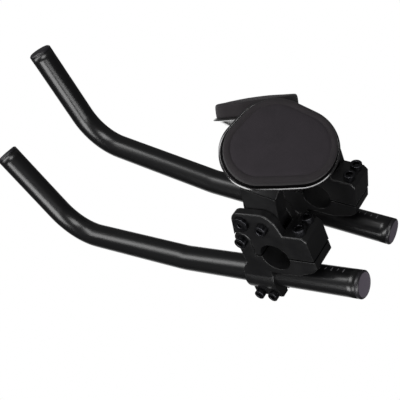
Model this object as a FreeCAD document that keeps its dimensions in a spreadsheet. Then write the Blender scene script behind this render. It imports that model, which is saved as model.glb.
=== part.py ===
import FreeCAD, Part
import math
import os

import Sketcher
from FreeCAD import Placement, Rotation, Vector

# Pair of clip-on handlebar extensions with armrests, in mm, +Z up, +Y forwards, +X to the rider's right.
# The origin lies on the axis of the two bar bores, midway between the arms.

doc = FreeCAD.newDocument("ExtensionSet")

# Driving sizes
sheet = doc.addObject("Spreadsheet::Sheet", "Sizes")
SIZES = (
    # Stance of the set
    ("arm_spacing", 73.0),
    ("arm_pitch", 7.0),
    ("bar_diameter", 25.4),
    # Extension tube
    ("tube_diameter", 22.2),
    ("tube_wall", 1.6),
    ("tube_drop", 30.5),
    ("tube_behind_bar", 57.5),
    ("rear_straight", 166.0),
    ("low_bend_radius", 70.0),
    ("low_bend_angle", 6.5),
    ("mid_straight", 104.0),
    ("high_bend_radius", 49.0),
    ("high_bend_angle", 61.0),
    ("front_straight", 72.0),
    ("plug_clearance", 0.15),
    ("plug_depth", 14.0),
    ("cap_thickness", 3.0),
    ("cap_edge", 0.7),
    # Bar clamp castings
    ("clamp_width", 26.0),
    ("split_gap", 1.6),
    ("ring_radius", 18.0),
    ("lug_rear", 34.0),
    ("lug_top", 23.0),
    ("lug_bottom", 12.0),
    ("pivot_height", 30.0),
    ("fork_radius", 12.5),
    ("fork_gap", 12.6),
    ("fork_floor", 17.0),
    ("fork_web_height", 21.5),
    ("nose_forward", 18.0),
    ("nose_height", 33.0),
    ("nose_radius", 9.5),
    ("knuckle_forward", 24.5),
    ("knuckle_height", 15.0),
    ("knuckle_radius", 7.5),
    ("knuckle_root_forward", 25.5),
    ("knuckle_root_drop", 8.0),
    ("knuckle_root_radius", 6.0),
    ("knuckle_gap", 13.0),
    ("knuckle_clearance", 0.5),
    ("tongue_clearance", 0.3),
    # Collar round the tube
    ("saddle_bottom", 17.8),
    ("collar_wall", 3.5),
    ("collar_rear", 11.0),
    ("collar_length", 28.0),
    ("collar_slit", 2.2),
    ("collar_ear_half", 11.0),
    ("collar_ear_below", 4.8),
    ("collar_ear_margin", 2.0),
    ("collar_bolt_wall", 1.2),
    ("collar_bolt_pitch", 13.0),
    # Fasteners
    ("large_bolt", 6.0),
    ("large_head", 9.6),
    ("large_head_height", 5.0),
    ("large_socket", 5.0),
    ("small_bolt", 5.0),
    ("small_head", 8.5),
    ("small_head_height", 4.6),
    ("small_socket", 4.0),
    ("button_head", 13.0),
    ("button_height", 3.2),
    ("side_screw_length", 6.0),
    ("large_nut", 10.0),
    ("large_nut_height", 5.0),
    ("bolt_clearance", 0.2),
    ("clamp_bolt_back", 27.0),
    ("clamp_bolt_pitch", 13.0),
    # Armrest arm
    ("hub_radius", 12.0),
    ("hub_clearance", 0.3),
    ("lean_left", 19.0),
    ("lean_right", -43.0),
    ("flange_inboard", 15.5),
    ("flange_height", 57.8),
    ("flange_back_tilt", 23.8),
    ("flange_out_tilt", 28.0),
    ("flange_radius", 12.5),
    ("flange_half_length", 6.0),
    ("flange_thickness", 4.0),
    ("riser_start", 26.0),
    ("riser_rear", 7.5),
    ("riser_front", 21.5),
    ("riser_seat_half", 7.0),
    ("riser_seat_rear", 13.0),
    ("riser_seat_front", 14.0),
    ("screw_pitch", 17.0),
    # Plan of the armrest as three discs: across inwards, forwards and radius
    ("main_forwards", 1.9),
    ("main_radius", 30.5),
    ("inner_across", 12.9),
    ("inner_forwards", 9.5),
    ("inner_radius", 24.5),
    ("outer_across", 6.2),
    ("outer_back", 12.5),
    ("outer_radius", 26.5),
    # Tray and pad, in heights above the flange
    ("tray_forwards_left", 0.0),
    ("tray_forwards_right", 5.0),
    ("tray_base", -2.5),
    ("tray_floor", 2.0),
    ("tray_depth", 6.2),
    ("tray_overhang", 1.8),
    ("tray_flare", 10.0),
    ("tray_wall", 1.8),
    ("disc_diameter", 15.0),
    ("disc_thickness", 1.5),
    ("disc_inner_across", 16.5),
    ("disc_inner_back", 9.0),
    ("disc_outer_across", 15.5),
    ("disc_outer_forwards", 3.0),
    ("pad_centre", 10.0),
    ("pad_thickness", 12.0),
    ("pad_edge", 5.0),
    ("pad_core_inset", 10.5),
    ("soft_clearance", 0.3),
)
for row, (alias, value) in enumerate(SIZES, start=1):
    sheet.set("A%d" % row, alias)
    sheet.set("B%d" % row, str(value))
    sheet.setAlias("B%d" % row, alias)
doc.recompute()
SIZE = {alias: float(sheet.get(alias)) for alias, value in SIZES}


def origin_plane(body, role):
    """Give the body's own origin plane of that role."""
    return next(f for f in body.Origin.OriginFeatures if f.Role == role)


def new_body(side, name):
    """Start a body that carries the node's name."""
    label = ("left_" if side < 0 else "right_") + name
    body = doc.addObject("PartDesign::Body", "Body_" + label)
    body.Label = label
    return body


def new_sketch(body, role, offset=0.0, place=None):
    """Put a sketch on an origin plane, moved along its normal or by a full placement."""
    sketch = body.newObject("Sketcher::SketchObject", "Sketch_" + body.Label)
    sketch.AttachmentSupport = [(origin_plane(body, role), "")]
    sketch.MapMode = "FlatFace"
    sketch.AttachmentOffset = place or Placement(Vector(0, 0, offset), Rotation())
    return sketch


def add_circle(sketch, u, v, radius, rule=None):
    """Draw a circle held by its radius, which follows the sheet when a rule is given."""
    index = sketch.addGeometry(Part.Circle(Vector(u, v, 0), Vector(0, 0, 1), radius), False)
    held = sketch.addConstraint(Sketcher.Constraint("Radius", index, radius))
    if rule:
        sketch.setExpression("Constraints[%d]" % held, rule)
    return index


def add_polygon(sketch, points):
    """Draw a closed outline of straight lines."""
    corners = [Vector(u, v, 0) for u, v in points]
    first = sketch.GeometryCount
    for here, there in zip(corners, corners[1:] + corners[:1]):
        sketch.addGeometry(Part.LineSegment(here, there), False)
    count = len(corners)
    for k in range(count):
        following = first + (k + 1) % count
        sketch.addConstraint(Sketcher.Constraint("Coincident", first + k, 2, following, 1))


def add_box(sketch, left, bottom, right, top):
    """Draw a rectangle from its sides."""
    add_polygon(sketch, ((left, bottom), (right, bottom), (right, top), (left, top)))


def hull_edges(discs):
    """Give the lines and arcs of the convex outline round discs listed anticlockwise."""
    normals = []
    for (u, v, r), (u2, v2, r2) in zip(discs, discs[1:] + discs[:1]):
        run = math.hypot(u2 - u, v2 - v)
        du, dv = (u2 - u) / run, (v2 - v) / run
        along = (r - r2) / run
        across = math.sqrt(1 - along * along)
        normals.append((along * du + across * dv, along * dv - across * du))
    edges = []
    for k, (u, v, r) in enumerate(discs):
        u2, v2, r2 = discs[(k + 1) % len(discs)]
        nu, nv = normals[k]
        start = math.atan2(normals[k - 1][1], normals[k - 1][0])
        end = math.atan2(nv, nu)
        if end < start:
            end += 2 * math.pi
        circle = Part.Circle(Vector(u, v, 0), Vector(0, 0, 1), r)
        edges.append(Part.ArcOfCircle(circle, start, end))
        leaves = Vector(u + r * nu, v + r * nv, 0)
        lands = Vector(u2 + r2 * nu, v2 + r2 * nv, 0)
        edges.append(Part.LineSegment(leaves, lands))
    return edges


def add_hull(sketch, discs):
    """Draw the convex outline round discs listed anticlockwise."""
    first = sketch.GeometryCount
    sketch.addGeometry(hull_edges(list(discs)), False)
    count = sketch.GeometryCount - first
    for k in range(count):
        following = first + (k + 1) % count
        sketch.addConstraint(Sketcher.Constraint("Coincident", first + k, 2, following, 1))


def add_pad(body, sketch, rule, symmetric=False, reverse=False):
    """Raise a sketch by a length written as a sheet rule."""
    pad = body.newObject("PartDesign::Pad", "Pad_" + body.Label)
    pad.Profile = sketch
    pad.setExpression("Length", rule)
    pad.SideType = "Symmetric" if symmetric else "One side"
    pad.Reversed = reverse
    doc.recompute()
    return pad


def add_pocket(body, sketch, rule, symmetric=False, reverse=False):
    """Cut a sketch by a length written as a sheet rule, and check that it removes metal."""
    before = body.Shape.Volume
    pocket = body.newObject("PartDesign::Pocket", "Pocket_" + body.Label)
    pocket.Profile = sketch
    pocket.setExpression("Length", rule)
    pocket.SideType = "Symmetric" if symmetric else "One side"
    pocket.Reversed = reverse
    doc.recompute()
    if body.Shape.Volume >= before - 0.01:
        raise RuntimeError("a pocket of %s removes nothing" % body.Label)
    return pocket


def add_turned(body, points):
    """Turn a half outline, given as radius and height, about the upright axis."""
    sketch = new_sketch(body, "XZ_Plane")
    add_polygon(sketch, points)
    turned = body.newObject("PartDesign::Revolution", "Turned_" + body.Label)
    turned.Profile = sketch
    turned.ReferenceAxis = (sketch, ["V_Axis"])
    turned.Angle = 360.0
    doc.recompute()
    return turned


def soften(body, kind, size, chosen):
    """Fillet or chamfer the edges of the body that the test picks."""
    tip = body.Tip
    names = ["Edge%d" % (k + 1) for k, edge in enumerate(tip.Shape.Edges) if chosen(edge)]
    if not names:
        raise RuntimeError("no edge to soften on %s" % body.Label)
    feature = body.newObject("PartDesign::" + kind, kind + "_" + body.Label)
    feature.Base = (tip, names)
    if kind == "Fillet":
        feature.Radius = size
    else:
        feature.Size = size
    doc.recompute()
    return feature


def arm_frame(side):
    """Give the frame of one arm: turned about the bar bore and moved sideways."""
    turn = Rotation(Vector(1, 0, 0), side * SIZE["arm_pitch"])
    return Placement(Vector(side * SIZE["arm_spacing"] / 2, 0, 0), turn)


def rest_frame(side):
    """Give the frame of one armrest: origin on its pivot, leaning as it is clamped."""
    lean = SIZE["lean_left"] if side < 0 else SIZE["lean_right"]
    return arm_frame(side) * Placement(Vector(0, 0, SIZE["pivot_height"]), Rotation(Vector(1, 0, 0), lean))


def flange_tilt(side):
    """Give the place of the flange in the armrest's frame, with Z square to the pad."""
    tilt = Rotation(Vector(1, 0, 0), SIZE["flange_back_tilt"])
    tilt = tilt * Rotation(Vector(0, 1, 0), side * SIZE["flange_out_tilt"])
    return Placement(Vector(-side * SIZE["flange_inboard"], 0, SIZE["flange_height"]), tilt)


def tray_slide(side):
    """Give how far the tray is set forwards on its flange."""
    return SIZE["tray_forwards_left"] if side < 0 else SIZE["tray_forwards_right"]


def plan(side, growth):
    """Give the armrest plan for one side, grown outwards, anticlockwise."""
    discs = [
        (0.0, SIZE["main_forwards"], SIZE["main_radius"] + growth),
        (side * SIZE["inner_across"], SIZE["inner_forwards"], SIZE["inner_radius"] + growth),
        (-side * SIZE["outer_across"], -SIZE["outer_back"], SIZE["outer_radius"] + growth),
    ]
    return discs if side < 0 else discs[::-1]


def across_x(side):
    """Give a frame whose Z axis points outboard, for what is turned about a cross axis."""
    return Rotation(Vector(0, 1, 0), side * 90.0)


def hexagon_wire(corner, height):
    """Give a closed hexagon at a height, from the radius to its corners."""
    turns = [math.pi * k / 3 for k in range(7)]
    return Part.makePolygon([Vector(corner * math.cos(t), corner * math.sin(t), height) for t in turns])


def socket_bolt(side, name, spots, length_rule, size, head_shape):
    """Make a group of socket head bolts, each at its own frame with Z out of the head."""
    label = ("left_" if side < 0 else "right_") + name
    diameter = SIZE[size + "_bolt"]
    head, height, key = head_shape
    pieces = []
    for spot in spots:
        shank = Part.makeCylinder(diameter / 2, length_rule, Vector(0, 0, -length_rule))
        shank = shank.makeChamfer(0.6, [e for e in shank.Edges if abs(e.CenterOfMass.z + length_rule) < 0.01])
        crown = Part.makeCylinder(head / 2, height)
        crown = crown.makeChamfer(0.5, [e for e in crown.Edges if abs(e.CenterOfMass.z - height) < 0.01])
        hexagon = hexagon_wire(key / math.sqrt(3), height)
        recess = Part.Face(hexagon).extrude(Vector(0, 0, -0.55 * height))
        bolt = shank.fuse(crown).cut(recess).removeSplitter()
        bolt.Placement = spot
        pieces.append(bolt)
    node = doc.addObject("Part::Feature", "Bolts_" + label)
    node.Label = label
    node.Shape = pieces[0] if len(pieces) == 1 else Part.makeCompound(pieces)
    return node


def hex_nut(side, name, spot):
    """Make a hexagon nut at a frame whose Z axis leaves the clamped face."""
    label = ("left_" if side < 0 else "right_") + name
    flat = SIZE["large_nut"]
    corner = flat / math.sqrt(3)
    height = SIZE["large_nut_height"]
    nut = Part.Face(hexagon_wire(corner, 0.0)).extrude(Vector(0, 0, height))
    dome = Part.makeCone(corner + 0.9, corner - 0.35, height)
    nut = nut.common(dome)
    nut = nut.cut(Part.makeCylinder(SIZE["large_bolt"] / 2 + SIZE["bolt_clearance"] / 2, height))
    node = doc.addObject("Part::Feature", "Nut_" + label)
    node.Label = label
    node.Shape = nut
    node.Placement = spot
    return node


# Radii of the bolt holes as sheet rules
LARGE_RULE = "(Sizes.large_bolt + Sizes.bolt_clearance) / 2"
SMALL_RULE = "(Sizes.small_bolt + Sizes.bolt_clearance) / 2"

# Places that follow from the sizes
half = SIZE["clamp_width"] / 2
drop = SIZE["tube_drop"]
tube_radius = SIZE["tube_diameter"] / 2
loose = SIZE["bolt_clearance"] / 2
large_hole = SIZE["large_bolt"] / 2 + loose
small_hole = SIZE["small_bolt"] / 2 + loose
collar_bolt_z = -drop - tube_radius - SIZE["collar_bolt_wall"] - small_hole
collar_ear_z = collar_bolt_z - SIZE["collar_ear_below"]
beyond = SIZE["lug_rear"] + SIZE["pivot_height"]

for side in (-1, 1):
    frame = arm_frame(side)

    # Extension tube: drawn aluminium tube bent twice in one upright plane
    body = new_body(side, "extension_tube")
    path = new_sketch(body, "YZ_Plane")
    y, z, pitch = -SIZE["tube_behind_bar"], -drop, 0.0
    runs = (
        ("rear_straight", None),
        ("low_bend_angle", "low_bend_radius"),
        ("mid_straight", None),
        ("high_bend_angle", "high_bend_radius"),
        ("front_straight", None),
    )
    for amount, bend in runs:
        if bend is None:
            y2 = y + SIZE[amount] * math.cos(pitch)
            z2 = z + SIZE[amount] * math.sin(pitch)
            path.addGeometry(Part.LineSegment(Vector(y, z, 0), Vector(y2, z2, 0)), False)
            y, z = y2, z2
        else:
            radius = SIZE[bend]
            centre = Vector(y - radius * math.sin(pitch), z + radius * math.cos(pitch), 0)
            start = pitch - math.pi / 2
            pitch += math.radians(SIZE[amount])
            circle = Part.Circle(centre, Vector(0, 0, 1), radius)
            path.addGeometry(Part.ArcOfCircle(circle, start, pitch - math.pi / 2), False)
            y = centre.x + radius * math.sin(pitch)
            z = centre.y - radius * math.cos(pitch)
    for k in range(4):
        path.addConstraint(Sketcher.Constraint("Coincident", k, 2, k + 1, 1))
    tube_front = Placement(Vector(0, y, z), Rotation(Vector(1, 0, 0), math.degrees(pitch) - 90.0))
    section = new_sketch(body, "XZ_Plane", SIZE["tube_behind_bar"])
    add_circle(section, 0, -drop, SIZE["tube_diameter"] / 2, "Sizes.tube_diameter / 2")
    add_circle(section, 0, -drop, SIZE["tube_diameter"] / 2 - SIZE["tube_wall"],
               "Sizes.tube_diameter / 2 - Sizes.tube_wall")
    pipe = body.newObject("PartDesign::AdditivePipe", "Pipe_" + body.Label)
    pipe.Profile = section
    pipe.Spine = (path, [])
    pipe.Transition = 0
    doc.recompute()
    body.Placement = frame

    # Front plug: plastic plug pushed into the front end
    stem = tube_radius - SIZE["tube_wall"] - SIZE["plug_clearance"]
    body = new_body(side, "front_plug")
    deep = -SIZE["plug_depth"]
    add_turned(body, ((0, deep), (stem - 0.8, deep), (stem, deep + 1.5), (stem, 0.1), (tube_radius, 0.1),
                      (tube_radius, 1.6), (tube_radius - 1.4, 3.0), (0, 3.4)))
    body.Placement = frame * tube_front

    # Rear cap: flat disc with a short stem
    thick = SIZE["cap_thickness"]
    edge = SIZE["cap_edge"]
    body = new_body(side, "rear_cap")
    add_turned(body, ((0, -10.0), (stem - 0.8, -10.0), (stem, -8.5), (stem, 0.1), (tube_radius, 0.1),
                      (tube_radius, thick - edge), (tube_radius - edge, thick), (0, thick)))
    tube_rear = Placement(Vector(0, -SIZE["tube_behind_bar"], -drop), Rotation(Vector(1, 0, 0), 90.0))
    body.Placement = frame * tube_rear

    # Clamp base: lower casting with the saddle, the front ears and the collar
    gap = SIZE["split_gap"] / 2
    body = new_body(side, "clamp_base")
    saddle = new_sketch(body, "YZ_Plane")
    rear = -SIZE["lug_rear"]
    bottom = -SIZE["lug_bottom"]
    floor = -SIZE["saddle_bottom"]
    collar_rear = SIZE["collar_rear"]
    collar_front = collar_rear + SIZE["collar_length"]
    knuckle = (SIZE["knuckle_forward"], SIZE["knuckle_height"], SIZE["knuckle_radius"])
    root = (SIZE["knuckle_root_forward"], -SIZE["knuckle_root_drop"], SIZE["knuckle_root_radius"])
    add_polygon(saddle, ((rear, -gap), (rear, bottom + 4), (rear + 4, bottom), (-15.0, floor),
                         (collar_rear, floor), (collar_rear, -drop), (collar_front, -drop),
                         (collar_front, floor - 2.0), (root[0] + 6.5, root[1] - 3.5),
                         (SIZE["ring_radius"] + 0.5, -gap)))
    add_pad(body, saddle, "Sizes.clamp_width", symmetric=True)
    ears = new_sketch(body, "YZ_Plane")
    add_hull(ears, (knuckle, root))
    add_pad(body, ears, "Sizes.clamp_width", symmetric=True)
    soften(body, "Fillet", 1.2, lambda e: abs(abs(e.CenterOfMass.x) - half) < 0.01
           and abs(e.BoundBox.XLength) < 0.01 and e.CenterOfMass.z > -drop + 2.0
           and not (abs(e.CenterOfMass.z + gap) < 0.01))
    collar = new_sketch(body, "XZ_Plane", -collar_front)
    collar_radius = tube_radius + SIZE["collar_wall"]
    add_circle(collar, 0, -drop, collar_radius, "Sizes.tube_diameter / 2 + Sizes.collar_wall")
    add_pad(body, collar, "Sizes.collar_length")
    margin = SIZE["collar_ear_margin"]
    flaps = new_sketch(body, "XZ_Plane", -collar_front + margin)
    reach = SIZE["collar_ear_half"]
    low = collar_ear_z
    add_polygon(flaps, ((-reach, -drop - 8.0), (-reach, low + 2.5), (-reach + 2.5, low), (reach - 2.5, low),
                        (reach, low + 2.5), (reach, -drop - 8.0)))
    add_pad(body, flaps, "Sizes.collar_length - 2 * Sizes.collar_ear_margin")
    bar_bore = new_sketch(body, "YZ_Plane")
    add_circle(bar_bore, 0, 0, SIZE["bar_diameter"] / 2, "Sizes.bar_diameter / 2")
    add_pocket(body, bar_bore, "Sizes.clamp_width + 2", symmetric=True)
    tube_bore = new_sketch(body, "XZ_Plane", -collar_front - 1.0)
    add_circle(tube_bore, 0, -drop, SIZE["tube_diameter"] / 2, "Sizes.tube_diameter / 2")
    add_pocket(body, tube_bore, "Sizes.collar_length + 2", reverse=True)
    slit = new_sketch(body, "XZ_Plane", -collar_front - 1.0)
    add_box(slit, -SIZE["collar_slit"] / 2, low - 1.0, SIZE["collar_slit"] / 2, -drop - 5.0)
    add_pocket(body, slit, "Sizes.collar_length + 2", reverse=True)
    tongue_room = new_sketch(body, "YZ_Plane")
    add_box(tongue_room, SIZE["ring_radius"] - 3.0, -gap, beyond, beyond)
    add_pocket(body, tongue_room, "Sizes.knuckle_gap", symmetric=True)
    knuckle_bore = new_sketch(body, "YZ_Plane")
    add_circle(knuckle_bore, knuckle[0], knuckle[1], large_hole, LARGE_RULE)
    add_pocket(body, knuckle_bore, "Sizes.clamp_width + 2", symmetric=True)
    lug_bores = new_sketch(body, "XY_Plane", bottom - 4.0)
    back = -SIZE["clamp_bolt_back"]
    for x in (-SIZE["clamp_bolt_pitch"] / 2, SIZE["clamp_bolt_pitch"] / 2):
        add_circle(lug_bores, x, back, large_hole, LARGE_RULE)
    add_pocket(body, lug_bores, "Sizes.lug_bottom + 6", reverse=True)
    flap_bores = new_sketch(body, "YZ_Plane")
    collar_mid = (collar_rear + collar_front) / 2
    collar_spots = [collar_mid - SIZE["collar_bolt_pitch"] / 2, collar_mid + SIZE["collar_bolt_pitch"] / 2]
    for y in collar_spots:
        add_circle(flap_bores, y, collar_bolt_z, small_hole, SMALL_RULE)
    add_pocket(body, flap_bores, "Sizes.clamp_width", symmetric=True)
    body.Placement = frame

    # Clamp cap: upper casting with the strap, the rear lug, the fork and the front tongue
    pivot = (0.0, SIZE["pivot_height"], SIZE["fork_radius"])
    nose = (SIZE["nose_forward"], SIZE["nose_height"], SIZE["nose_radius"])
    body = new_body(side, "clamp_cap")
    block = new_sketch(body, "YZ_Plane")
    add_hull(block, (knuckle, nose, pivot, (-12.5, 7.0, 5.5)))
    add_pad(body, block, "Sizes.clamp_width", symmetric=True)
    lug = new_sketch(body, "YZ_Plane")
    lug_top = SIZE["lug_top"]
    add_polygon(lug, ((rear, gap), (10.0, gap), (10.0, 12.0), (-8.0, lug_top + 4), (-14.0, lug_top),
                      (rear + 3, lug_top), (rear, lug_top - 3)))
    add_pad(body, lug, "Sizes.clamp_width", symmetric=True)
    strap = new_sketch(body, "YZ_Plane")
    add_circle(strap, 0, 0, SIZE["ring_radius"], "Sizes.ring_radius")
    add_pad(body, strap, "Sizes.clamp_width", symmetric=True)
    soften(body, "Fillet", 1.2, lambda e: abs(abs(e.CenterOfMass.x) - half) < 0.01
           and abs(e.BoundBox.XLength) < 0.01 and e.CenterOfMass.z > 18.0)
    under = new_sketch(body, "YZ_Plane")
    add_box(under, -beyond, -beyond, beyond, gap)
    add_pocket(body, under, "Sizes.clamp_width + 2", symmetric=True)
    bar_bore = new_sketch(body, "YZ_Plane")
    add_circle(bar_bore, 0, 0, SIZE["bar_diameter"] / 2, "Sizes.bar_diameter / 2")
    add_pocket(body, bar_bore, "Sizes.clamp_width + 2", symmetric=True)
    clear = SIZE["knuckle_clearance"]
    tongue = SIZE["knuckle_gap"] / 2 - SIZE["tongue_clearance"]
    for sign in (-1, 1):
        relief = new_sketch(body, "YZ_Plane", sign * (half + 1.0))
        add_hull(relief, ((knuckle[0], knuckle[1], knuckle[2] + clear), (root[0], root[1], root[2] + clear)))
        add_pocket(body, relief, "%.3f + Sizes.clamp_width / 2" % (1.0 - tongue), reverse=(sign < 0))
    fork = new_sketch(body, "YZ_Plane")
    web = SIZE["fork_web_height"]
    add_polygon(fork, ((-beyond, lug_top + 0.8), (-13.5, lug_top + 0.8), (-13.5, SIZE["fork_floor"]),
                       (15.0, SIZE["fork_floor"]), (19.0, web), (beyond, web), (beyond, beyond),
                       (-beyond, beyond)))
    add_pocket(body, fork, "Sizes.fork_gap", symmetric=True)
    cross_bores = new_sketch(body, "YZ_Plane")
    add_circle(cross_bores, pivot[0], pivot[1], large_hole, LARGE_RULE)
    add_circle(cross_bores, knuckle[0], knuckle[1], large_hole, LARGE_RULE)
    add_pocket(body, cross_bores, "Sizes.clamp_width + 2", symmetric=True)
    screw_bore = new_sketch(body, "YZ_Plane", side * (half + 1.0))
    add_circle(screw_bore, nose[0], nose[1], small_hole, SMALL_RULE)
    add_pocket(body, screw_bore, "Sizes.clamp_width / 2 - Sizes.fork_gap / 2 + 2", reverse=(side < 0))
    lug_bores = new_sketch(body, "XY_Plane", lug_top + 2.0)
    for x in (-SIZE["clamp_bolt_pitch"] / 2, SIZE["clamp_bolt_pitch"] / 2):
        add_circle(lug_bores, x, back, large_hole, LARGE_RULE)
    add_pocket(body, lug_bores, "Sizes.lug_top + 4")
    body.Placement = frame

    # Fasteners of the clamp
    large = (SIZE["large_head"], SIZE["large_head_height"], SIZE["large_socket"])
    small = (SIZE["small_head"], SIZE["small_head_height"], SIZE["small_socket"])
    button = (SIZE["button_head"], SIZE["button_height"], SIZE["small_socket"])
    outward = across_x(side)
    upright = [Placement(Vector(x, back, lug_top), Rotation())
               for x in (-SIZE["clamp_bolt_pitch"] / 2, SIZE["clamp_bolt_pitch"] / 2)]
    bolts = socket_bolt(side, "clamp_bolts", upright, lug_top + SIZE["lug_bottom"] + 1.0, "large", large)
    bolts.Placement = frame
    spot = [Placement(Vector(side * half, knuckle[0], knuckle[1]), outward)]
    bolts = socket_bolt(side, "front_cross_bolt", spot, SIZE["clamp_width"] + 6.5, "large", large)
    bolts.Placement = frame * bolts.Placement
    inner_face = Placement(Vector(-side * half, knuckle[0], knuckle[1]), across_x(-side))
    hex_nut(side, "front_cross_nut", frame * inner_face)
    spot = [Placement(Vector(side * half, 0, pivot[1]), outward)]
    bolts = socket_bolt(side, "pivot_bolt", spot, SIZE["clamp_width"] + 6.5, "large", large)
    bolts.Placement = frame * bolts.Placement
    hex_nut(side, "pivot_nut", frame * Placement(Vector(-side * half, 0, pivot[1]), across_x(-side)))
    spot = [Placement(Vector(side * half, nose[0], nose[1]), outward)]
    bolts = socket_bolt(side, "side_screw", spot, SIZE["side_screw_length"], "small", button)
    bolts.Placement = frame * bolts.Placement
    spots = [Placement(Vector(side * reach, y, collar_bolt_z), outward) for y in collar_spots]
    bolts = socket_bolt(side, "collar_bolts", spots, 2 * reach - 1.0, "small", small)
    bolts.Placement = frame

    # Armrest arm: hub in the fork, riser cranked inwards, flange tilted back and outwards
    lean = rest_frame(side)
    tilt = flange_tilt(side)
    thick_half = SIZE["fork_gap"] / 2 - SIZE["hub_clearance"]
    body = new_body(side, "armrest_arm")
    hub = new_sketch(body, "YZ_Plane")
    add_circle(hub, 0, 0, SIZE["hub_radius"], "Sizes.hub_radius")
    add_pad(body, hub, "Sizes.fork_gap - 2 * Sizes.hub_clearance", symmetric=True)
    stalk = new_sketch(body, "YZ_Plane")
    start = SIZE["riser_start"]
    hub_radius = SIZE["hub_radius"]
    riser_rear = -SIZE["riser_rear"]
    riser_front = SIZE["riser_front"]
    add_polygon(stalk, ((1.0 - hub_radius, 0.0), (5.0, 3.0 - hub_radius),
                        (riser_front - 2.0, hub_radius - 0.5), (riser_front, start), (riser_rear, start)))
    add_pad(body, stalk, "Sizes.fork_gap - 2 * Sizes.hub_clearance", symmetric=True)
    foot = new_sketch(body, "XY_Plane", start - 1.0)
    add_box(foot, -thick_half, riser_rear + 0.1, thick_half, riser_front - 0.2)
    seat_low = tilt * Placement(Vector(0, 0, SIZE["tray_base"] - SIZE["flange_thickness"]), Rotation())
    seat = new_sketch(body, "XY_Plane", place=seat_low * Placement(Vector(0, 0, 1.0), Rotation()))
    seat_half = SIZE["riser_seat_half"]
    add_box(seat, -seat_half, -SIZE["riser_seat_rear"], seat_half, SIZE["riser_seat_front"])
    riser = body.newObject("PartDesign::AdditiveLoft", "Riser_" + body.Label)
    riser.Profile = foot
    riser.Sections = [seat]
    riser.Ruled = True
    doc.recompute()
    plate = new_sketch(body, "XY_Plane", place=seat_low)
    reach = SIZE["flange_half_length"]
    add_hull(plate, ((0.0, -reach, SIZE["flange_radius"]), (0.0, reach, SIZE["flange_radius"])))
    add_pad(body, plate, "Sizes.flange_thickness")
    hub_bore = new_sketch(body, "YZ_Plane")
    add_circle(hub_bore, 0, 0, large_hole, LARGE_RULE)
    add_pocket(body, hub_bore, "Sizes.clamp_width", symmetric=True)
    tapped = new_sketch(body, "XY_Plane", place=tilt * Placement(Vector(0, 0, SIZE["tray_base"]), Rotation()))
    for y in (-SIZE["screw_pitch"] / 2, SIZE["screw_pitch"] / 2):
        add_circle(tapped, 0, y, small_hole, SMALL_RULE)
    add_pocket(body, tapped, "Sizes.flange_thickness + 6")
    body.Placement = lean

    # Tray: moulded dish, flared from a flat floor to a thin rim, set forwards on its flange
    slide = tray_slide(side)
    screw_spots = [-SIZE["screw_pitch"] / 2 - slide, SIZE["screw_pitch"] / 2 - slide]
    deck = lean * tilt * Placement(Vector(0, slide, SIZE["tray_base"]), Rotation())
    body = new_body(side, "tray")
    low_outline = new_sketch(body, "XY_Plane")
    add_hull(low_outline, plan(side, SIZE["tray_overhang"] - SIZE["tray_flare"]))
    high_outline = new_sketch(body, "XY_Plane", SIZE["tray_depth"])
    add_hull(high_outline, plan(side, SIZE["tray_overhang"]))
    dish = body.newObject("PartDesign::AdditiveLoft", "Dish_" + body.Label)
    dish.Profile = low_outline
    dish.Sections = [high_outline]
    dish.Ruled = True
    doc.recompute()
    inner_low = new_sketch(body, "XY_Plane", SIZE["tray_floor"])
    lift = SIZE["tray_floor"] / SIZE["tray_depth"]
    inner = SIZE["tray_overhang"] - SIZE["tray_flare"] * (1 - lift) - SIZE["tray_wall"]
    add_hull(inner_low, plan(side, inner))
    inner_high = new_sketch(body, "XY_Plane", SIZE["tray_depth"] + 0.01)
    add_hull(inner_high, plan(side, SIZE["tray_overhang"] - SIZE["tray_wall"]))
    hollow = body.newObject("PartDesign::SubtractiveLoft", "Hollow_" + body.Label)
    hollow.Profile = inner_low
    hollow.Sections = [inner_high]
    hollow.Ruled = True
    doc.recompute()
    screw_holes = new_sketch(body, "XY_Plane", SIZE["tray_floor"] + 1.0)
    for y in screw_spots:
        add_circle(screw_holes, 0, y, small_hole, SMALL_RULE)
    add_pocket(body, screw_holes, "Sizes.tray_floor + 2")
    body.Placement = deck

    # Tray screws: low dome heads on the floor of the tray
    spots = [Placement(Vector(0, y, SIZE["tray_floor"]), Rotation()) for y in screw_spots]
    dome = (SIZE["small_head"] + 0.5, 1.2, SIZE["small_socket"] - 1.0)
    through = SIZE["tray_floor"] + SIZE["flange_thickness"]
    bolts = socket_bolt(side, "tray_screws", spots, through, "small", dome)
    bolts.Placement = deck

    # Fastener discs: round hook-and-loop pieces stuck to the floor
    label = ("left_" if side < 0 else "right_") + "fastener_discs"
    disc_spots = (
        (SIZE["disc_inner_across"], -SIZE["disc_inner_back"]),
        (-SIZE["disc_outer_across"], SIZE["disc_outer_forwards"]),
    )
    disc_radius = SIZE["disc_diameter"] / 2
    discs = [
        Part.makeCylinder(disc_radius, SIZE["disc_thickness"], Vector(-side * u, v, SIZE["tray_floor"]))
        for u, v in disc_spots
    ]
    node = doc.addObject("Part::Feature", "Discs_" + label)
    node.Label = label
    node.Shape = Part.makeCompound(discs)
    node.Placement = deck

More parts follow.
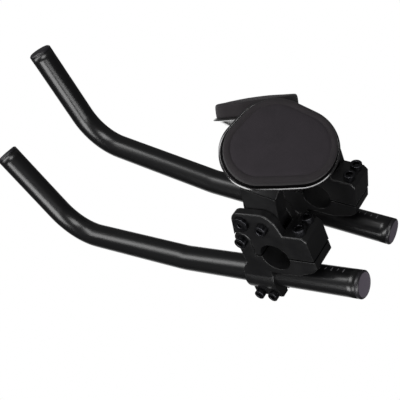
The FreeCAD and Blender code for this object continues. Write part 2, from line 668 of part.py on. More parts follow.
    # Pad: slab of soft foam with a core that drops into the tray
    body = new_body(side, "pad")
    half_pad = SIZE["pad_thickness"] / 2
    base_level = SIZE["pad_centre"] - half_pad
    slab = new_sketch(body, "XY_Plane", base_level)
    add_hull(slab, plan(side, 0.0))
    add_pad(body, slab, "Sizes.pad_thickness")
    top_level = SIZE["pad_centre"] + half_pad
    soften(body, "Fillet", SIZE["pad_edge"], lambda e: abs(e.CenterOfMass.z - top_level) < 0.01)
    core_level = SIZE["tray_base"] + SIZE["tray_floor"] + SIZE["disc_thickness"] + SIZE["soft_clearance"]
    core = new_sketch(body, "XY_Plane", core_level)
    add_hull(core, plan(side, -SIZE["pad_core_inset"]))
    add_pad(body, core, "%.3f" % (base_level - core_level + 0.5))
    body.Placement = lean * tilt * Placement(Vector(0, slide, 0), Rotation())

doc.recompute()

# Checks before writing
kinds = ("PartDesign::Body", "Part::Feature")
nodes = [item for item in doc.Objects if item.TypeId in kinds and item.Label == item.Label.lower()]
for item in doc.Objects:
    if "Invalid" in item.State or "Error" in item.State:
        raise RuntimeError("%s is in error" % item.Label)
for node in nodes:
    if node.Shape.isNull() or not node.Shape.isValid() or node.Shape.Volume < 1.0:
        raise RuntimeError("%s is not a sound solid" % node.Label)

# Write one file a node
os.makedirs("parts", exist_ok=True)
for node in nodes:
    node.Shape.exportStep("parts/%s.step" % node.Label)
print("%d nodes" % len(nodes))
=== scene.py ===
"""Pair of clip-on extensions with armrests, dressed on its CAD frame.

Sizes and places are in mm in the part's own frame; mesh_piece turns them into metres. The light, the
camera and the bevel and bump of the finishes are in metres.
"""

import math

import bmesh
import bpy
import numpy as np
from mathutils import Matrix, Vector


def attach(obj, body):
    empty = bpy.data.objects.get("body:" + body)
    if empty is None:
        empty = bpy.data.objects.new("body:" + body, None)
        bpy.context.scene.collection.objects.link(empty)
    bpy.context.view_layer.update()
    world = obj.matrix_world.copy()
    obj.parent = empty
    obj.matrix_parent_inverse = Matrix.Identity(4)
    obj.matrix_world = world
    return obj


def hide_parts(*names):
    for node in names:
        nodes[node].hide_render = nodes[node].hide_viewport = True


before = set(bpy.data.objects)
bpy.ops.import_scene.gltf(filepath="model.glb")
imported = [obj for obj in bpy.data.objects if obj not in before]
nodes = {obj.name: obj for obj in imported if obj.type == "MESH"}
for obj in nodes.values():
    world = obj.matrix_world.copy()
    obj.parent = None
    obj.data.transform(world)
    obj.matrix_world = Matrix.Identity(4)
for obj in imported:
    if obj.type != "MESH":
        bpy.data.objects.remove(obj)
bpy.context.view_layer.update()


def turn(axis, degrees):
    """Turn about X, Y or Z as a 4x4 array."""
    return np.array(Matrix.Rotation(math.radians(degrees), 4, axis))


def move(x, y, z):
    """Move in mm as a 4x4 array."""
    return np.array(Matrix.Translation((x, y, z)))


# Stance: the two arms stand 73 mm apart and are clamped 7 degrees off level, the left one dipping at
# the front and the right one rising. The left armrest leans back and the right one forwards about its
# pivot bolt, and the flange under its tray is tilted two ways.
SIDES = {"left": -1, "right": 1}
LEAN = {"left": 19.0, "right": -43.0}
TRAY_FORWARDS = {"left": 0.0, "right": 5.0}
ARM_SPACING = 73.0
ARM_TILT = 7.0
PIVOT_LEVEL = 30.0
FLANGE_INWARDS = 15.5
FLANGE_UP = 57.8
FLANGE_PITCH = 23.8
FLANGE_ROLL = 28.0
arm_place = {name: move(side * ARM_SPACING / 2, 0, 0) @ turn("X", side * ARM_TILT)
             for name, side in SIDES.items()}
flange_place = {name: arm_place[name] @ move(0, 0, PIVOT_LEVEL) @ turn("X", LEAN[name])
                @ move(-side * FLANGE_INWARDS, 0, FLANGE_UP) @ turn("X", FLANGE_PITCH)
                @ turn("Y", side * FLANGE_ROLL)
                for name, side in SIDES.items()}
tray_place = {name: flange_place[name] @ move(0, TRAY_FORWARDS[name], 0) for name in SIDES}


def paint(text):
    """Turn an sRGB hex colour into the linear RGBA that shaders take: c/12.92 or ((c+0.055)/1.055)^2.4."""
    parts = [int(text[k:k + 2], 16) / 255 for k in (1, 3, 5)]
    return tuple(c / 12.92 if c <= 0.04045 else ((c + 0.055) / 1.055) ** 2.4 for c in parts) + (1.0,)


def add(tree, kind, inputs=None, **settings):
    """Add a shader node, with its settings, its input values and its links from other nodes' sockets."""
    made = tree.nodes.new("ShaderNode" + kind)
    for name, value in settings.items():
        setattr(made, name, value)
    for name, value in (inputs or {}).items():
        if isinstance(value, bpy.types.NodeSocket):
            tree.links.new(value, made.inputs[name])
        else:
            made.inputs[name].default_value = value
    return made


def start_material(name):
    """Make an empty node material and give it with its tree."""
    material = bpy.data.materials.new(name)
    material.use_nodes = True
    material.node_tree.nodes.clear()
    return material, material.node_tree


def finish_material(tree, surface):
    """Link the last shader to the material's output."""
    add(tree, "OutputMaterial", {"Surface": surface.outputs[0]})


def finish_node(node_name, material):
    """Give a CAD node its finish and leave its form as it is."""
    slots = nodes[node_name].data.materials
    slots.clear()
    slots.append(material)


# Extension tubes: drawn aluminium, 22.2 mm across, bent cold twice in one plane, then anodised
# satin black. The dyed oxide skin is a clear dielectric over black, with faint drawing lines.
anodised, tree = start_material("satin_black_anodised_aluminium")
where = add(tree, "TexCoord").outputs["Object"]
along = add(tree, "Mapping", {"Vector": where, "Scale": (900, 40, 900)}).outputs[0]
lines = add(tree, "TexNoise", {"Vector": along, "Scale": 1.0, "Detail": 2.0})
cloud = add(tree, "TexNoise", {"Vector": where, "Scale": 60.0, "Detail": 4.0})
rough = add(tree, "MapRange", {"Value": cloud.outputs[0], "From Min": 0.3, "From Max": 0.7,
                               "To Min": 0.275, "To Max": 0.285})
bump = add(tree, "Bump", {"Height": lines.outputs[0], "Strength": 0.02, "Distance": 0.00005})
skin = add(tree, "BsdfPrincipled", {"Base Color": paint("#0C0C0D"), "Roughness": rough.outputs[0],
                                    "Normal": bump.outputs[0]})
finish_material(tree, skin)
TUBE_RADIUS = 11.1
TUBE_BORE_RADIUS = 9.5
TUBE_REAR = -57.5
TUBE_LEVEL = -30.5
RUNS = [("straight", 166.0), ("bend", 70.0, 6.5), ("straight", 104.0), ("bend", 49.0, 61.0),
        ("straight", 72.0)]


def tube_path(step):
    """Centre line of the tube in the arm's upright plane, as rows of y, z and pitch in radians.

    Straights, given by their length, and bends, given by radius and degrees, follow each other. On a
    bend of radius R the pitch a grows by ds/R, and everywhere dy = cos(a) ds, dz = sin(a) ds.
    """
    y, z, pitch = TUBE_REAR, TUBE_LEVEL, 0.0
    rows = [(y, z, pitch)]
    for kind, *measures in RUNS:
        if kind == "straight":
            length = measures[0]
            count = max(2, int(length / step))
            for k in range(count):
                y += length / count * math.cos(pitch)
                z += length / count * math.sin(pitch)
                rows.append((y, z, pitch))
        else:
            radius, degrees = measures
            count = max(6, int(degrees / 2.5))
            d = math.radians(degrees) / count
            for k in range(count):
                y += radius * (math.sin(pitch + d) - math.sin(pitch))
                z += radius * (math.cos(pitch) - math.cos(pitch + d))
                pitch += d
                rows.append((y, z, pitch))
    return np.array(rows)


def swept(rows, radius, around):
    """Rings of points round the path: p = c + r (cos(t) X + sin(t) N), N = (0, -sin a, cos a)."""
    t = np.linspace(0, 2 * np.pi, around, endpoint=False)
    y, z, a = rows[:, 0:1], rows[:, 1:2], rows[:, 2:3]
    x = radius * np.cos(t)[None, :] * np.ones_like(y)
    up = radius * np.sin(t)[None, :]
    return np.stack([x, y - np.sin(a) * up, z + np.cos(a) * up], -1).reshape(-1, 3)


def grid_faces(rows, columns, first=0):
    """Quads between the rows of a grid that wraps: row i, column j is point first + i*columns + j."""
    faces = []
    for i in range(rows - 1):
        for j in range(columns):
            k = (j + 1) % columns
            faces.append((first + i * columns + j, first + i * columns + k,
                          first + (i + 1) * columns + k, first + (i + 1) * columns + j))
    return faces


def mesh_piece(name, points, faces, place):
    """Make a smooth mesh object from points in mm, moved by a 4x4 place and stored in metres."""
    points = np.asarray(points, float) @ place[:3, :3].T + place[:3, 3]
    mesh = bpy.data.meshes.new(name)
    mesh.from_pydata((points * 0.001).tolist(), [], faces)
    mesh.polygons.foreach_set("use_smooth", [True] * len(mesh.polygons))
    mesh.update()
    piece = bpy.data.objects.new(name, mesh)
    bpy.context.scene.collection.objects.link(piece)
    return piece


def dress(piece, node_name, slot, *finishes):
    """Let a piece ride with the frame, in place of its CAD node where it has one, with its finishes."""
    for material in finishes:
        piece.data.materials.append(material)
    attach(piece, "root")
    if node_name:
        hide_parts(node_name)
    return piece


path = tube_path(step=6.0)
AROUND = 96
for name in SIDES:
    rings = len(path)
    outer = swept(path, TUBE_RADIUS, AROUND)
    inner = swept(path, TUBE_BORE_RADIUS, AROUND)
    faces = [face[::-1] for face in grid_faces(rings, AROUND)]
    faces += grid_faces(rings, AROUND, rings * AROUND)
    for row, flip in ((0, False), (rings - 1, True)):
        on_outer, on_inner = row * AROUND, (rings + row) * AROUND
        for j in range(AROUND):
            k = (j + 1) % AROUND
            quad = (on_outer + j, on_outer + k, on_inner + k, on_inner + j)
            faces.append(quad[::-1] if flip else quad)
    tube = mesh_piece(name + "_tube", np.vstack([outer, inner]), faces, arm_place[name])
    dress(tube, name + "_extension_tube", "tube", anodised)

# Fore-and-aft scale: fine pale ticks, pad printed across the top of each rear straight every 5 mm
# with a longer one each 10 mm, so that both tubes can be set alike in their collars.
printed, tree = start_material("pale_grey_pad_print")
where = add(tree, "TexCoord").outputs["Object"]
speck = add(tree, "TexNoise", {"Vector": where, "Scale": 2500.0, "Detail": 2.0})
tone = add(tree, "Mix", {"Factor": speck.outputs[0], "A": paint("#5E5C60"), "B": paint("#8A888C")},
           data_type="RGBA")
ink = add(tree, "BsdfPrincipled", {"Base Color": tone.outputs["Result"], "Roughness": 0.55})
finish_material(tree, ink)
TICKS = 10
FIRST_TICK = -46.0
TICK_PITCH = 5.0
TICK_HALF_WIDTH = 0.22
TICK_MIDDLE = 1.45
TICK_STEPS = 6
LONG_HALF_ARC = 0.19
SHORT_HALF_ARC = 0.12
PRINT_RADIUS = TUBE_RADIUS + 0.04
for name in SIDES:
    points, faces = [], []
    for k in range(TICKS):
        half_arc = LONG_HALF_ARC if k % 2 == 0 else SHORT_HALF_ARC
        y = FIRST_TICK + TICK_PITCH * k
        first = len(points)
        for t in np.linspace(TICK_MIDDLE - half_arc, TICK_MIDDLE + half_arc, TICK_STEPS + 1):
            for dy in (-TICK_HALF_WIDTH, TICK_HALF_WIDTH):
                points.append((PRINT_RADIUS * math.cos(t), y + dy, TUBE_LEVEL + PRINT_RADIUS * math.sin(t)))
        faces += [(first + 2 * m, first + 2 * m + 1, first + 2 * m + 3, first + 2 * m + 2)
                  for m in range(TICK_STEPS)]
    marks = mesh_piece(name + "_tube_scale", points, faces, arm_place[name])
    dress(marks, None, "tube", printed)

# Front plugs and rear caps: moulded black plastic, pressed into the tube ends. The plug is slightly
# domed. The rear cap has a finely eroded flat face inside a small polished chamfer. The face is painted
# paler than the black rim: partly its own matt finish, and partly painted light where it faces the lamps.
moulded, tree = start_material("black_moulded_plastic")
where = add(tree, "TexCoord").outputs["Object"]
grain = add(tree, "TexNoise", {"Vector": where, "Scale": 1800.0, "Detail": 3.0})
bump = add(tree, "Bump", {"Height": grain.outputs[0], "Strength": 0.08, "Distance": 0.0002})
shell = add(tree, "BsdfPrincipled", {"Base Color": paint("#1A191C"), "Roughness": 0.36,
                                     "Normal": bump.outputs[0]})
finish_material(tree, shell)
# The face's paler greys are partly painted light on the end face, which turns towards the lamps.
eroded_face_with_painted_light, tree = start_material("eroded_plastic_with_painted_light")
where = add(tree, "TexCoord").outputs["Object"]
grain = add(tree, "TexNoise", {"Vector": where, "Scale": 2600.0, "Detail": 4.0})
tone = add(tree, "Mix", {"Factor": grain.outputs[0], "A": paint("#4E4851"), "B": paint("#5E5862")},
           data_type="RGBA")
bump = add(tree, "Bump", {"Height": grain.outputs[0], "Strength": 0.25, "Distance": 0.0002})
face = add(tree, "BsdfPrincipled", {"Base Color": tone.outputs["Result"], "Roughness": 0.6,
                                    "Normal": bump.outputs[0]})
finish_material(tree, face)


def rounded(corners, radius, steps=5):
    """Profile through corners (r, z), with each inner corner B between A and C cut by a quadratic arc.

    The arc is (1-t)^2 a + 2t(1-t) B + t^2 c, where a and c lie the radius from B towards A and C.
    """
    corners = np.asarray(corners, float)
    out = [corners[0]]
    for before, here, after in zip(corners, corners[1:], corners[2:]):
        back, ahead = np.linalg.norm(before - here), np.linalg.norm(after - here)
        a = here + (before - here) / back * min(radius, back / 2)
        c = here + (after - here) / ahead * min(radius, ahead / 2)
        for t in np.linspace(0, 1, steps):
            out.append((1 - t) ** 2 * a + 2 * t * (1 - t) * here + t * t * c)
    out.append(corners[-1])
    return [tuple(p) for p in out]


def turned(name, profile, place, around=AROUND):
    """Surface of revolution about local Z: each profile point (r, z) makes a ring r (cos t, sin t), z."""
    t = np.linspace(0, 2 * np.pi, around, endpoint=False)
    rings = [np.stack([r * np.cos(t), r * np.sin(t), np.full(around, z)], -1) for r, z in profile]
    points = np.vstack(rings + [[(0, 0, profile[0][1])], [(0, 0, profile[-1][1])]])
    faces = grid_faces(len(profile), around)
    bottom, top = len(profile) * around, len(profile) * around + 1
    for j in range(around):
        k = (j + 1) % around
        faces.append((bottom, k, j))
        faces.append((top, bottom - around + j, bottom - around + k))
    return mesh_piece(name, points, faces, place)


PLUG = [(0.4, -14.0), (9.3, -14.0), (9.35, 0.1), (TUBE_RADIUS, 0.1), (TUBE_RADIUS, 1.7), (9.6, 3.0),
        (0.4, 3.4)]
CAP_FACE_RADIUS = 9.6
CAP_FACE_LEVEL = 2.75
CAP = [(0.4, -10.0), (9.3, -10.0), (9.35, 0.1), (TUBE_RADIUS, 0.1), (TUBE_RADIUS, 2.1), (10.2, 3.0),
       (CAP_FACE_RADIUS, 3.0), (9.3, CAP_FACE_LEVEL), (0.4, CAP_FACE_LEVEL)]
end_y, end_z, end_pitch = path[-1]
for name in SIDES:
    front = arm_place[name] @ move(0, end_y, end_z) @ turn("X", math.degrees(end_pitch) - 90.0)
    plug = turned(name + "_plug", rounded(PLUG, 0.5), front)
    dress(plug, name + "_front_plug", "plug", moulded)
    back = arm_place[name] @ move(0, TUBE_REAR, TUBE_LEVEL) @ turn("X", 90.0)
    cap = turned(name + "_cap", rounded(CAP, 0.22), back)
    dress(cap, name + "_rear_cap", "end_cap", moulded, eroded_face_with_painted_light)
    to_cap = np.linalg.inv(back)
    # Polygons of the flat end face take the paler material, which paints light onto that face.
    for polygon in cap.data.polygons:
        spot = to_cap[:3, :3] @ (np.array(polygon.center) * 1000) + to_cap[:3, 3]
        if spot[2] > CAP_FACE_LEVEL - 0.05 and math.hypot(spot[0], spot[1]) < CAP_FACE_RADIUS:
            polygon.material_index = 1

# Bar clamps and armrest arms: gravity-cast aluminium, tumbled and powder coated satin black. The coat
# rounds every edge a little and keeps a fine orange peel.
coated, tree = start_material("satin_black_powder_coat")
where = add(tree, "TexCoord").outputs["Object"]
peel = add(tree, "TexNoise", {"Vector": where, "Scale": 900.0, "Detail": 2.0})
wide = add(tree, "TexNoise", {"Vector": where, "Scale": 70.0, "Detail": 3.0})
edges = add(tree, "Bevel", {"Radius": 0.0008}, samples=6)
bump = add(tree, "Bump", {"Height": peel.outputs[0], "Strength": 0.16, "Distance": 0.0003,
                          "Normal": edges.outputs[0]})
rough = add(tree, "MapRange", {"Value": wide.outputs[0], "From Min": 0.3, "From Max": 0.7,
                               "To Min": 0.3, "To Max": 0.42})
coat = add(tree, "BsdfPrincipled", {"Base Color": paint("#0B0B0C"), "Roughness": rough.outputs[0],
                                    "Normal": bump.outputs[0]})
finish_material(tree, coat)
for name in SIDES:
    for part in ("clamp_base", "clamp_cap", "armrest_arm"):
        finish_node(name + "_" + part, coated)

# Bolts, screws and nuts: cold-headed alloy steel with a black oxide finish, oiled, with hexagon sockets.
oxide, tree = start_material("black_oxide_steel")
where = add(tree, "TexCoord").outputs["Object"]
bloom = add(tree, "TexNoise", {"Vector": where, "Scale": 500.0, "Detail": 3.0})
rough = add(tree, "MapRange", {"Value": bloom.outputs[0], "From Min": 0.3, "From Max": 0.7,
                               "To Min": 0.25, "To Max": 0.42})
steel = add(tree, "BsdfPrincipled", {"Base Color": paint("#3A3A3D"), "Metallic": 1.0,
                                     "Roughness": rough.outputs[0]})
finish_material(tree, steel)


def screw_rings(diameter, length, head, height, key, around=48):
    """Rings of a socket screw about Z, from the tip over the head and down the hexagon socket.

    The head sits on z = 0. The socket's radius at angle t is key/2 / cos(((t + pi/6) mod pi/3) - pi/6),
    and it grows by the first number of each step at the height of the second.
    """
    t = np.linspace(0, 2 * np.pi, around, endpoint=False)
    hexagon = key / 2 / np.cos(np.mod(t + math.pi / 6, math.pi / 3) - math.pi / 6)
    shank, chamfer = diameter / 2, 0.6
    outside = [(0.3, -length), (shank - chamfer, -length), (shank, -length + chamfer), (shank, 0.0),
               (head / 2, 0.0), (head / 2, height), (key / 2 + 1.0, height)]
    steps = [(np.full(around, r), z) for r, z in rounded(outside, 0.45)]
    steps.append((np.maximum(hexagon + 0.35, key / 2 + 0.6), height))
    for grow, z in ((0.05, height - 0.25), (0.0, height - 0.45), (0.0, 0.45 * height),
                    (-0.5 * key, 0.4 * height)):
        steps.append((np.maximum(hexagon + grow, 0.05), z))
    return np.array([np.stack([r * np.cos(t), r * np.sin(t), np.full(around, z)], -1) for r, z in steps])


def smooth_by_angle(piece, degrees):
    """Shade smooth except over edges sharper than the angle."""
    work = bmesh.new()
    work.from_mesh(piece.data)
    for edge in work.edges:
        edge.smooth = edge.calc_face_angle(0.0) < math.radians(degrees)
    work.to_mesh(piece.data)
    work.free()


def screws(name, node_name, spots, shape, place):
    """Make one mesh of several screws, each at its own 4x4 spot."""
    rings = screw_rings(*shape)
    count, around = rings.shape[:2]
    single = rings.reshape(-1, 3)
    points, faces = [], []
    for number, spot in enumerate(spots):
        first = number * len(single)
        points.append(single @ spot[:3, :3].T + spot[:3, 3])
        faces += grid_faces(count, around, first)
        faces.append(tuple(first + j for j in reversed(range(around))))
        faces.append(tuple(first + (count - 1) * around + j for j in range(around)))
    piece = mesh_piece(name, np.vstack(points), faces, place)
    smooth_by_angle(piece, 35.0)
    dress(piece, node_name, "bolt", oxide)


# Each screw is given by its diameter, its length under the head, the head's width and height and the
# key's width. The cross bolts start at the clamp's outer face and the collar bolts at the collar's ear.
LUG_SCREW = (6.0, 36.0, 9.6, 5.0, 5.0)
CROSS_SCREW = (6.0, 32.5, 9.6, 5.0, 5.0)
SIDE_BUTTON = (5.0, 6.0, 13.0, 3.2, 4.0)
COLLAR_SCREW = (5.0, 21.0, 8.5, 4.6, 4.0)
TRAY_BUTTON = (5.0, 6.0, 9.0, 1.2, 3.0)
OUTER_FACE = 13.0
EAR_FACE = 11.0
for name, side in SIDES.items():
    place = arm_place[name]
    out = turn("Y", side * 90.0)
    face_x = side * OUTER_FACE
    screws(name + "_lug_screws", name + "_clamp_bolts",
           [move(x, -27.0, 23.0) for x in (-6.5, 6.5)], LUG_SCREW, place)
    screws(name + "_knuckle_screw", name + "_front_cross_bolt",
           [move(face_x, 24.5, 15.0) @ out], CROSS_SCREW, place)
    screws(name + "_pivot_screw", name + "_pivot_bolt",
           [move(face_x, 0.0, PIVOT_LEVEL) @ out], CROSS_SCREW, place)
    screws(name + "_side_button", name + "_side_screw",
           [move(face_x, 18.0, 33.0) @ out], SIDE_BUTTON, place)
    screws(name + "_collar_screws", name + "_collar_bolts",
           [move(side * EAR_FACE, y, -45.4) @ out for y in (18.5, 31.5)], COLLAR_SCREW, place)
    screws(name + "_tray_buttons", name + "_tray_screws",
           [move(0, y, -0.5) for y in (-8.5, 8.5)], TRAY_BUTTON, flange_place[name])
    for part in ("front_cross_nut", "pivot_nut"):
        finish_node(name + "_" + part, oxide)

# Trays: injection-moulded gloss black dishes, flared from a flat floor to a rolled rim that catches
# the light as a thin line round the pad.
gloss, tree = start_material("gloss_black_moulding")
where = add(tree, "TexCoord").outputs["Object"]
flow = add(tree, "TexNoise", {"Vector": where, "Scale": 45.0, "Detail": 3.0})
rough = add(tree, "MapRange", {"Value": flow.outputs[0], "From Min": 0.3, "From Max": 0.7,
                               "To Min": 0.14, "To Max": 0.22})
plastic = add(tree, "BsdfPrincipled", {"Base Color": paint("#1B1A1B"), "Roughness": rough.outputs[0],
                                       "Coat Weight": 1.0, "Coat Roughness": 0.1})
finish_material(tree, plastic)
# Discs of the plan, each by its outboard and forward place and its radius.
MAIN_DISC = (0.0, 1.9, 30.5)
FRONT_DISC = (12.9, 9.5, 24.5)
REAR_DISC = (-6.2, -12.5, 26.5)


def plan_outline(side, count):
    """Outline of the armrest in plan, with its normals: the convex hull of three discs.

    For the direction n(t) the outline's point is the farthest c_i + r_i n over the discs. The points
    are then spread evenly along the outline's length.
    """
    discs = np.array([MAIN_DISC, FRONT_DISC, REAR_DISC]) * (side, 1, 1)
    t = np.linspace(0, 2 * np.pi, 2880, endpoint=False)
    n = np.stack([np.cos(t), np.sin(t)], -1)
    best = np.argmax(discs[:, :2] @ n.T + discs[:, 2:3], axis=0)
    p = discs[best, :2] + discs[best, 2:3] * n
    p, n = np.vstack([p, p[:1]]), np.vstack([n, n[:1]])
    s = np.concatenate([[0], np.cumsum(np.linalg.norm(np.diff(p, axis=0), axis=1))])
    at = np.linspace(0, s[-1], count, endpoint=False)
    even = [np.stack([np.interp(at, s, v[:, k]) for k in (0, 1)], -1) for v in (p, n)]
    return even[0], even[1] / np.linalg.norm(even[1], axis=1)[:, None]


def contoured(name, side, profile, place, count, even=12.0, reach=30.0):
    """Closed surface over the plan: each profile point (inset, z) makes a ring p - inset n.

    Rings further in than even, 12 mm, shrink towards the middle of the plan instead, which they would
    meet at the reach of 30 mm, so that they never cross.
    """
    p, n = plan_outline(side, count)
    middle = p.mean(0)
    rings = []
    for inset, z in profile:
        ring = p - min(inset, even) * n
        ring = middle + (ring - middle) * (1 - max(0.0, inset - even) / (reach - even))
        rings.append(np.column_stack([ring, np.full(count, z)]))
    faces = grid_faces(len(profile), count)
    faces.append(tuple(reversed(range(count))))
    faces.append(tuple((len(profile) - 1) * count + j for j in range(count)))
    return mesh_piece(name, np.vstack(rings), faces, place)


# The dish in section: its underside from the middle out, the rolled rim, and the floor back inwards.
DISH = [(29.5, -2.5), (24.0, -2.5), (16.0, -2.5), (9.2, -2.5), (8.2, -2.45), (7.3, -2.1), (0.6, 2.2),
        (-1.0, 2.85), (-2.3, 3.1), (-2.75, 3.3), (-2.85, 3.6), (-2.7, 3.75), (-1.75, 4.45), (-1.55, 4.5),
        (-1.3, 4.4), (-0.7, 3.8), (0.1, 3.5), (0.9, 3.1), (7.6, -0.2), (8.4, -0.45), (9.4, -0.5),
        (16.0, -0.5), (24.0, -0.5), (29.5, -0.5)]
for name, side in SIDES.items():
    tray = contoured(name + "_dish", side, DISH, tray_place[name], count=200)
    smooth_by_angle(tray, 50.0)
    dress(tray, name + "_tray", "tray", gloss)

# Fastener discs: woven hook-and-loop, stuck to the tray's floor under the pad.
hooks, tree = start_material("hook_and_loop")
fuzz = add(tree, "TexVoronoi", {"Vector": add(tree, "TexCoord").outputs["Object"], "Scale": 1400.0})
bump = add(tree, "Bump", {"Height": fuzz.outputs["Distance"], "Strength": 0.7, "Distance": 0.0005})
pile = add(tree, "BsdfPrincipled", {"Base Color": paint("#202022"), "Roughness": 0.95,
                                    "Normal": bump.outputs[0]})
finish_material(tree, pile)
for name in SIDES:
    finish_node(name + "_fastener_discs", hooks)

# Pads: soft foam, 12 mm thick, in a stretch cover. A side band is turned 5 mm over the top edge and
# sewn to the top panel there, and its worn black is a little browner.
def knitted(name, dark, pale, stitch=0.9):
    """Make a knit fabric; its stitches are 0.9 mm apart, coarser than the real 0.4 mm, so that they show.

    A band texture repeats every 2 pi / (20 scale), and the cover's UV is in mm.
    """
    material, tree = start_material(name)
    cut = add(tree, "TexCoord").outputs["UV"]
    weave = {"Vector": cut, "Scale": 2 * math.pi / (20 * stitch), "Distortion": 0.4}
    rows = add(tree, "TexWave", weave, bands_direction="Y")
    wales = add(tree, "TexWave", weave, bands_direction="X")
    knit = add(tree, "Math", {0: rows.outputs["Fac"], 1: wales.outputs["Fac"]}, operation="MULTIPLY")
    cloud = add(tree, "TexNoise", {"Vector": cut, "Scale": 0.08, "Detail": 4.0})
    tone = add(tree, "Mix", {"Factor": cloud.outputs[0], "A": paint(dark), "B": paint(pale)},
               data_type="RGBA")
    bump = add(tree, "Bump", {"Height": knit.outputs[0], "Strength": 0.3, "Distance": 0.0003})
    surface = add(tree, "BsdfPrincipled", {"Base Color": tone.outputs["Result"], "Roughness": 0.8,
                                           "Sheen Weight": 0.08, "Sheen Roughness": 0.5,
                                           "Specular IOR Level": 0.15, "Normal": bump.outputs[0]})
    finish_material(tree, surface)
    return material


panel_fabric = knitted("black_stretch_fabric", "#1C191C", "#252125")
band_fabric = knitted("brown_black_stretch_fabric", "#1B181A", "#232022")


def settle(piece, pinned, pressure, limit):
    """Let the cover swell as cloth for 20 frames, pinned along its seams, and cap each move in mm."""
    rest = np.array([v.co for v in piece.data.vertices])
    group = piece.vertex_groups.new(name="seams")
    group.add([int(k) for k in np.nonzero(pinned)[0]], 1.0, "REPLACE")
    cloth = piece.modifiers.new("settle", "CLOTH")
    cloth.settings.vertex_group_mass = "seams"
    cloth.settings.quality = 4
    cloth.settings.mass = 0.15
    cloth.settings.use_pressure = True
    cloth.settings.uniform_pressure_force = pressure
    cloth.settings.effector_weights.gravity = 0.0
    for number in range(1, 21):
        bpy.context.scene.frame_set(number)
    graph = bpy.context.evaluated_depsgraph_get()
    shift = np.array([v.co for v in piece.evaluated_get(graph).data.vertices]) - rest
    piece.modifiers.remove(cloth)
    bpy.context.scene.frame_set(1)
    reach = np.linalg.norm(shift, axis=1, keepdims=True)
    shift *= np.minimum(1.0, limit * 0.001 / np.maximum(reach, 1e-9))
    piece.data.vertices.foreach_set("co", (rest + shift).astype(np.float32).ravel())
    piece.data.update()


def lay_cloth(piece, side, profile, seam_row, count, middle_inset=31.0):
    """Give the cover its cut as UV in mm.

    The band, in the second fabric, is laid out by length and height. The panel is laid flat: a ring at
    an inset is the outline times 1 - inset / middle_inset.
    """
    p, n = plan_outline(side, count)
    steps = np.linalg.norm(np.diff(np.vstack([p, p[:1]]), axis=0), axis=1)
    along = np.concatenate([[0], np.cumsum(steps)])
    up = np.concatenate([[0], np.cumsum(np.linalg.norm(np.diff(profile, axis=0), axis=1))])
    layer = piece.data.uv_layers.new(name="cut")
    for polygon in piece.data.polygons:
        spots = [divmod(v, count) for v in polygon.vertices]
        band = min(row for row, column in spots) < seam_row
        polygon.material_index = 1 if band else 0
        wraps = {column for row, column in spots} == {0, count - 1}
        for loop, (row, column) in zip(polygon.loop_indices, spots):
            if band:
                layer.data[loop].uv = (along[count if wraps and column == 0 else column], up[row])
            else:
                flat = p[column] * (1 - profile[row][0] / middle_inset)
                layer.data[loop].uv = (flat[0], flat[1])


BASE, TOP = 4.0, 16.0
SEAM = (5.2, BASE + 10.8)
UNDERSIDE = [(28.0, BASE), (20.0, BASE), (12.0, BASE), (8.0, BASE), (4.0, BASE), (1.6, BASE + 0.1),
             (0.5, BASE + 0.7)]
BAND = [(0.3, BASE + 1.6), (0.2, BASE + 3.4), (0.2, BASE + 5.3), (0.2, BASE + 7.2), (0.3, BASE + 9.0),
        (0.6, BASE + 10.4), (1.3, BASE + 11.3), (2.5, BASE + 11.6), (3.8, BASE + 11.6), (4.7, BASE + 11.4)]
PANEL = [(5.8, BASE + 11.4), (7.6, TOP - 0.1), (10.0, TOP + 0.1), (13.0, TOP + 0.2), (16.0, TOP + 0.3),
         (19.0, TOP + 0.35), (22.0, TOP + 0.4), (25.0, TOP + 0.4), (28.0, TOP + 0.4)]
COVER = UNDERSIDE + BAND + [SEAM] + PANEL
SEAM_ROW = COVER.index(SEAM)
COLUMNS = 120
for name, side in SIDES.items():
    pad = contoured(name + "_cover", side, COVER, tray_place[name], COLUMNS)
    row = np.arange(len(pad.data.vertices)) // COLUMNS
    settle(pad, (row < len(UNDERSIDE)) | (row == SEAM_ROW), pressure=4.0, limit=0.7)
    lay_cloth(pad, side, COVER, SEAM_ROW, COLUMNS)
    soft = pad.modifiers.new("soften", "SUBSURF")
    soft.levels = soft.render_levels = 1
    dress(pad, name + "_pad", "pad", panel_fabric, band_fabric)

# Camera: solved from the photo, so that both tubes lie on their own edges in the picture.
PHOTO_WIDTH_PIXELS = 400.0
FOCAL_PIXELS = 728.74
CAMERA_PLACE = (-0.36431, -0.26167, 0.38269)
azimuth, elevation, roll = math.radians(45.18), math.radians(36.94), math.radians(-20.05)
forward = np.array([math.cos(azimuth) * math.cos(elevation), math.sin(azimuth) * math.cos(elevation),
                    -math.sin(elevation)])
right = np.cross(forward, (0, 0, 1.0))
right /= np.linalg.norm(right)
up = np.cross(right, forward)
across = math.cos(roll) * right + math.sin(roll) * up
upward = -math.sin(roll) * right + math.cos(roll) * up
camera = bpy.data.objects.new("camera", bpy.data.cameras.new("camera"))
bpy.context.scene.collection.objects.link(camera)
stand = np.eye(4)
stand[:3, :] = np.column_stack([across, upward, -forward, CAMERA_PLACE])
camera.matrix_world = Matrix(stand.tolist())
camera.data.lens = camera.data.sensor_width * FOCAL_PIXELS / PHOTO_WIDTH_PIXELS
camera.data.clip_start = 0.01
bpy.context.scene.camera = camera

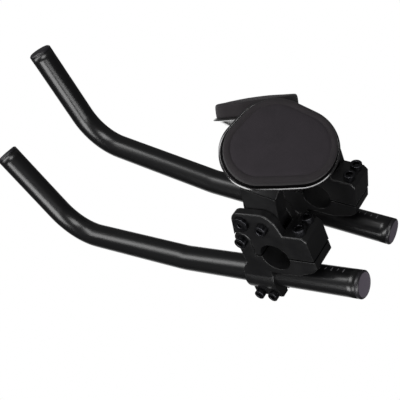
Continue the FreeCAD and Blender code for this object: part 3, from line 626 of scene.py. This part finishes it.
# Light: a dim studio over a white floor that shines ahead of the set. A long strip draws the line along
# the tubes, a broad box overhead lights the pads, and cards at the left and behind catch rims and caps.
scene = bpy.context.scene
scene.view_settings.view_transform = "Standard"
world = bpy.data.worlds.new("studio")
scene.world = world
world.use_nodes = True
tree = world.node_tree
tree.nodes.clear()
rays = add(tree, "LightPath")
direction = add(tree, "TexCoord").outputs["Generated"]
sky = add(tree, "SeparateXYZ", {0: direction})
fade = add(tree, "MapRange", {"Value": sky.outputs["Z"], "From Min": -1.0, "From Max": 1.0,
                              "To Min": 0.02, "To Max": 0.14})
ahead = add(tree, "VectorMath", {0: direction, 1: (0.42, 0.55, -0.72)}, operation="DOT_PRODUCT")
floor = add(tree, "MapRange", {"Value": ahead.outputs["Value"], "From Min": 0.8, "From Max": 0.93,
                               "To Min": 0.0, "To Max": 1.1})
level = add(tree, "Math", {0: fade.outputs[0], 1: floor.outputs[0]}, operation="ADD")
studio = add(tree, "Background", {"Color": (1, 1, 1, 1), "Strength": level.outputs[0]})
paper = add(tree, "Background", {"Color": (1, 1, 1, 1), "Strength": 1.0})
both = add(tree, "MixShader", {0: rays.outputs["Is Camera Ray"], 1: studio.outputs[0], 2: paper.outputs[0]})
add(tree, "OutputWorld", {"Surface": both.outputs[0]})


def soft_box(name, place, aim, size, power):
    """Area light at a place, aimed at a point, in metres and watts; its height runs towards +Y."""
    data = bpy.data.lights.new(name, "AREA")
    data.shape = "RECTANGLE"
    data.size, data.size_y = size
    data.energy = power
    lamp = bpy.data.objects.new(name, data)
    bpy.context.scene.collection.objects.link(lamp)
    lamp.location = place
    lamp.rotation_euler = (Vector(place) - Vector(aim)).to_track_quat("Z", "Y").to_euler()


soft_box("overhead", (-0.35, -0.1, 1.0), (0, 0.05, 0.05), (0.6, 0.6), 7.0)
soft_box("strip", (-0.5, 0.85, 0.85), (0, 0.1, 0), (0.36, 1.1), 7.0)
soft_box("left_card", (-0.9, 0.0, 0.0), (0, 0.1, 0.05), (0.6, 0.4), 6.0)
soft_box("rear_card", (-0.5, -0.8, 0.0), (0, 0, 0.05), (0.8, 0.3), 5.0)
